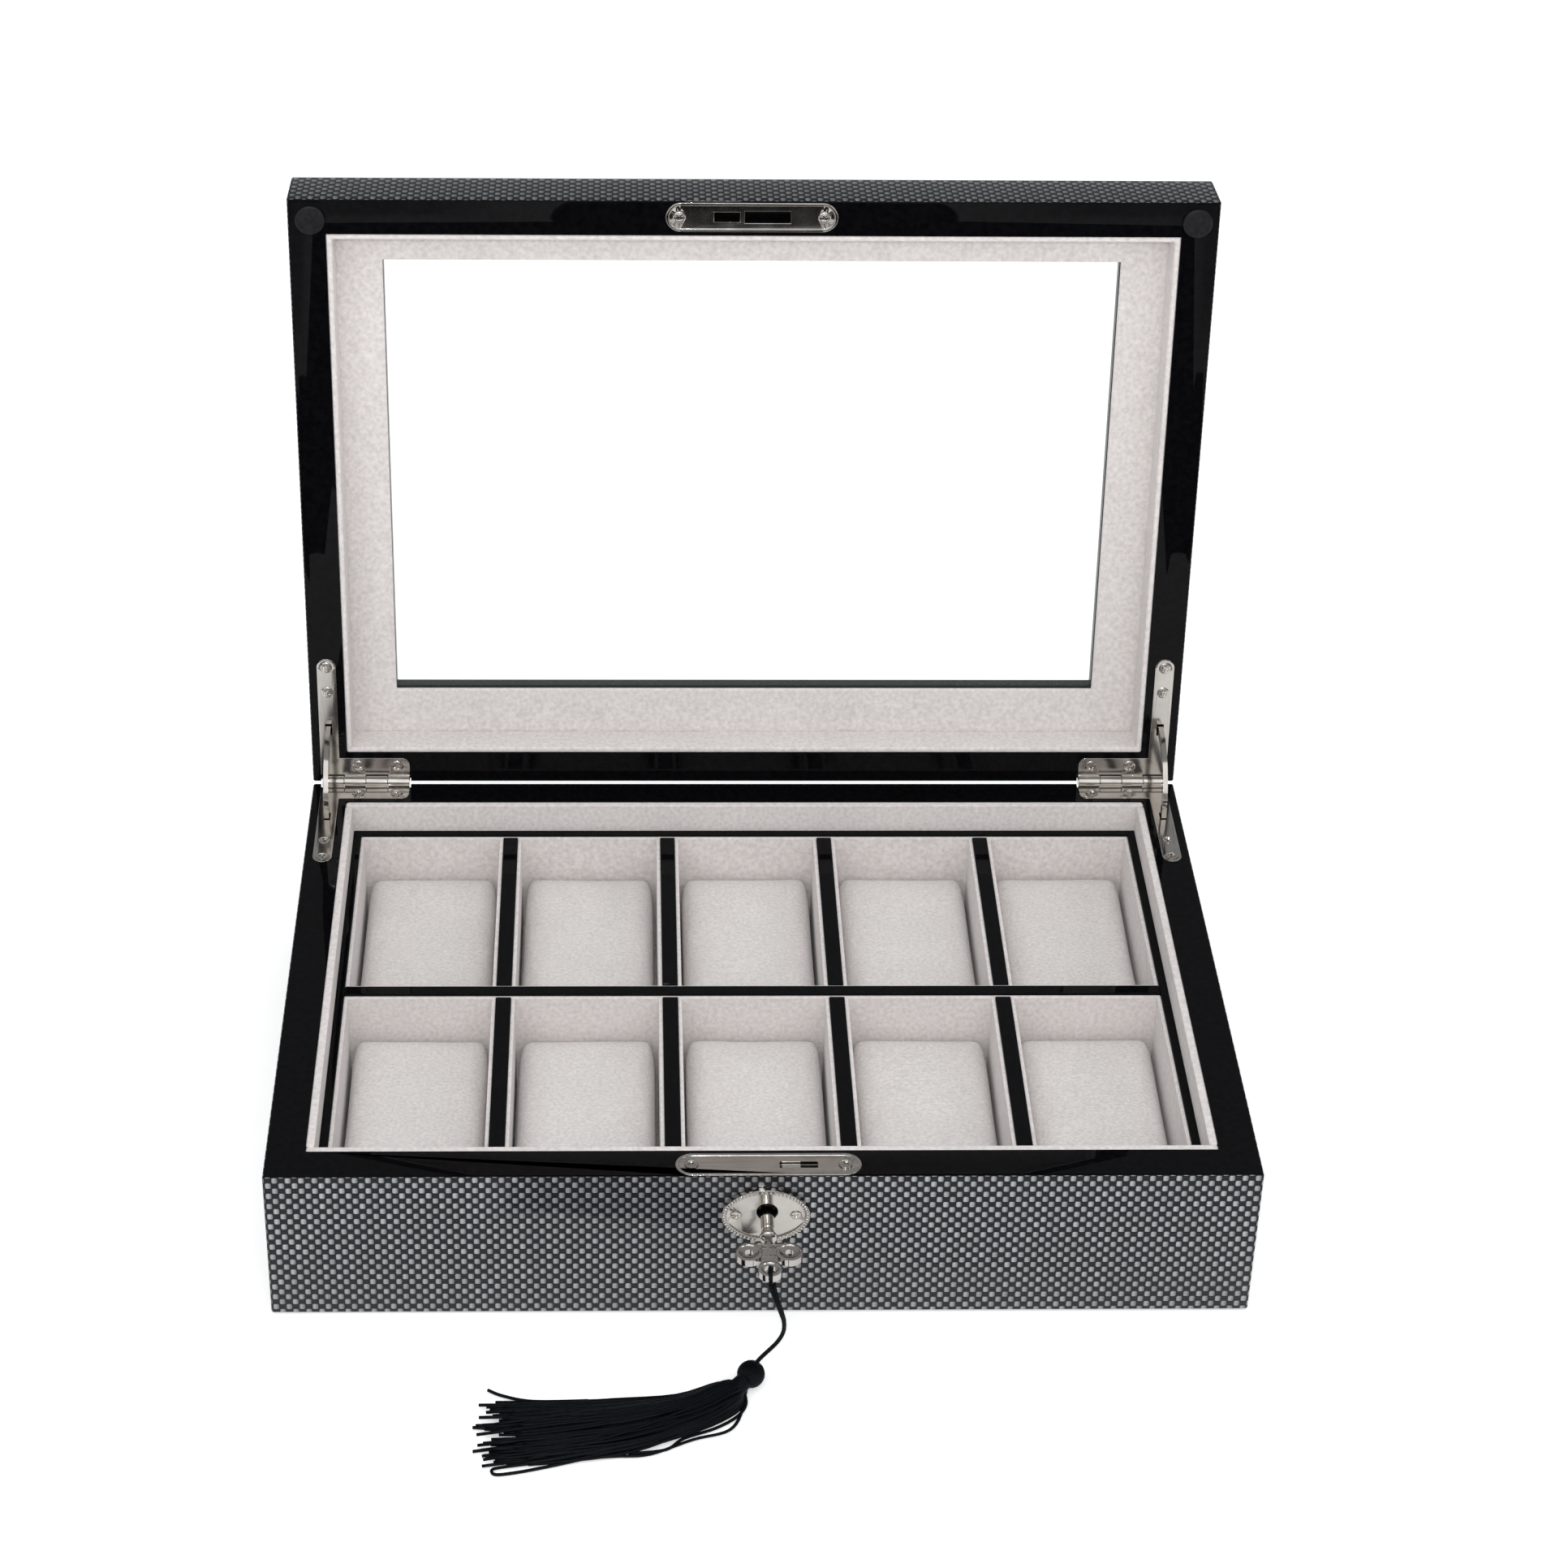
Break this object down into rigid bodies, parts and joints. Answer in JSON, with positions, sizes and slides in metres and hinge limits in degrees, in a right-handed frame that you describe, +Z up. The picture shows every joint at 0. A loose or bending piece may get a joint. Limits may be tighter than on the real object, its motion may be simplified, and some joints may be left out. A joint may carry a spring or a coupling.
{
  "type": "watch box",
  "caption": "Lidded watch box with a glazed window, divided cushioned compartments, corner stay hinges, mortise lock, key and tassel.",
  "frame": {"origin": "middle of the underside of the felt, on the surface the box stands on", "axes": "+X to the right along the front, +Y towards the hinges, +Z up"},
  "size_m": [0.33, 0.3556, 0.2928],
  "materials": {
    "weave_lacquer": "fibreboard in woven carbon-look film under high-gloss black lacquer",
    "black_lacquer": "high-gloss black piano lacquer",
    "suede": "short-nap suede cloth, light greige",
    "cushion_suede": "short-nap suede cloth over foam",
    "board": "fibreboard",
    "felt": "black felt",
    "nickel": "bright nickel plate",
    "lock_steel": "plain plated steel",
    "glass": "clear float glass",
    "pad": "clear smoked bumper pad",
    "tassel_thread": "black satin thread"
  },
  "bodies": {
    "base": {"base_front_wall": "weave_lacquer", "base_back_wall": "weave_lacquer", "base_left_wall": "weave_lacquer", "base_right_wall": "weave_lacquer", "base_floor_board": "board", "base_felt": "felt", "lining_front": "suede", "lining_back": "suede", "lining_left": "suede", "lining_right": "suede", "floor_lining": "suede", "tray_frame": "black_lacquer", "tray_middle_rail": "black_lacquer", "compartment_linings": "suede", "lock_case": "lock_steel", "lock_edge_plate": "nickel", "lock_plate_screws": "nickel", "escutcheon": "nickel", "escutcheon_screws": "nickel", "key_cord": "tassel_thread", "tassel_head": "tassel_thread", "tassel_skirt": "tassel_thread", "hinge_base_screws": "nickel", "divider_rear_1": "black_lacquer", "divider_rear_2": "black_lacquer", "divider_rear_3": "black_lacquer", "divider_rear_4": "black_lacquer", "divider_front_1": "black_lacquer", "divider_front_2": "black_lacquer", "divider_front_3": "black_lacquer", "divider_front_4": "black_lacquer", "left_hinge_base_leaf": "nickel", "left_hinge_pin": "nickel", "right_hinge_base_leaf": "nickel", "right_hinge_pin": "nickel"},
    "lid": {"lid_walls": "weave_lacquer", "lid_top_frame": "weave_lacquer", "lid_glass": "glass", "lid_lining_boards": "suede", "lid_window_panel": "suede", "strike_plate": "nickel", "strike_plate_screws": "nickel", "bumper_pads": "pad", "hinge_lid_screws": "nickel", "left_hinge_lid_leaf": "nickel", "right_hinge_lid_leaf": "nickel"},
    "left_stay": {"left_hinge_stay": "nickel"},
    "right_stay": {"right_hinge_stay": "nickel"},
    "key": {"key": "nickel"},
    "bolt": {"lock_bolt": "lock_steel"},
    "cushion_1": {"watch_cushion_1": "cushion_suede"},
    "cushion_2": {"watch_cushion_2": "cushion_suede"},
    "cushion_3": {"watch_cushion_3": "cushion_suede"},
    "cushion_4": {"watch_cushion_4": "cushion_suede"},
    "cushion_5": {"watch_cushion_5": "cushion_suede"},
    "cushion_6": {"watch_cushion_6": "cushion_suede"},
    "cushion_7": {"watch_cushion_7": "cushion_suede"},
    "cushion_8": {"watch_cushion_8": "cushion_suede"},
    "cushion_9": {"watch_cushion_9": "cushion_suede"},
    "cushion_10": {"watch_cushion_10": "cushion_suede"}
  },
  "joints": [
    {"name": "lid_hinge", "type": "hinge", "parent": "base", "child": "lid", "pos_m": [0, 0.1165, 0.0607], "axis": [-1, 0, 0], "range_deg": [-95, 0]},
    {"name": "left_stay_swing", "type": "hinge", "parent": "base", "child": "left_stay", "pos_m": [0, 0.1165, 0.0607], "axis": [-1, 0, 0], "range_deg": [-65, 0]},
    {"name": "right_stay_swing", "type": "hinge", "parent": "base", "child": "right_stay", "pos_m": [0, 0.1165, 0.0607], "axis": [-1, 0, 0], "range_deg": [-65, 0]},
    {"name": "key_turn", "type": "hinge", "parent": "base", "child": "key", "pos_m": [0.001, -0.1165, 0.0442], "axis": [0, 1, 0], "range_deg": [-90, 90]},
    {"name": "bolt_slide", "type": "slide", "parent": "base", "child": "bolt", "axis": [0, 0, 1], "range_m": [-0.0032, 0.0032]},
    {"name": "cushion_1_lift", "type": "slide", "parent": "base", "child": "cushion_1", "axis": [0, 0, 1], "range_m": [0, 0.06]},
    {"name": "cushion_2_lift", "type": "slide", "parent": "base", "child": "cushion_2", "axis": [0, 0, 1], "range_m": [0, 0.06]},
    {"name": "cushion_3_lift", "type": "slide", "parent": "base", "child": "cushion_3", "axis": [0, 0, 1], "range_m": [0, 0.06]},
    {"name": "cushion_4_lift", "type": "slide", "parent": "base", "child": "cushion_4", "axis": [0, 0, 1], "range_m": [0, 0.06]},
    {"name": "cushion_5_lift", "type": "slide", "parent": "base", "child": "cushion_5", "axis": [0, 0, 1], "range_m": [0, 0.06]},
    {"name": "cushion_6_lift", "type": "slide", "parent": "base", "child": "cushion_6", "axis": [0, 0, 1], "range_m": [0, 0.06]},
    {"name": "cushion_7_lift", "type": "slide", "parent": "base", "child": "cushion_7", "axis": [0, 0, 1], "range_m": [0, 0.06]},
    {"name": "cushion_8_lift", "type": "slide", "parent": "base", "child": "cushion_8", "axis": [0, 0, 1], "range_m": [0, 0.06]},
    {"name": "cushion_9_lift", "type": "slide", "parent": "base", "child": "cushion_9", "axis": [0, 0, 1], "range_m": [0, 0.06]},
    {"name": "cushion_10_lift", "type": "slide", "parent": "base", "child": "cushion_10", "axis": [0, 0, 1], "range_m": [0, 0.06]}
  ],
  "couplings": [
    {"joint": "left_stay_swing", "follows": "lid_hinge", "ratio": 0.68},
    {"joint": "right_stay_swing", "follows": "lid_hinge", "ratio": 0.68},
    {"joint": "key_turn", "follows": "bolt_slide", "rad_per_m": 490.87}
  ]
}
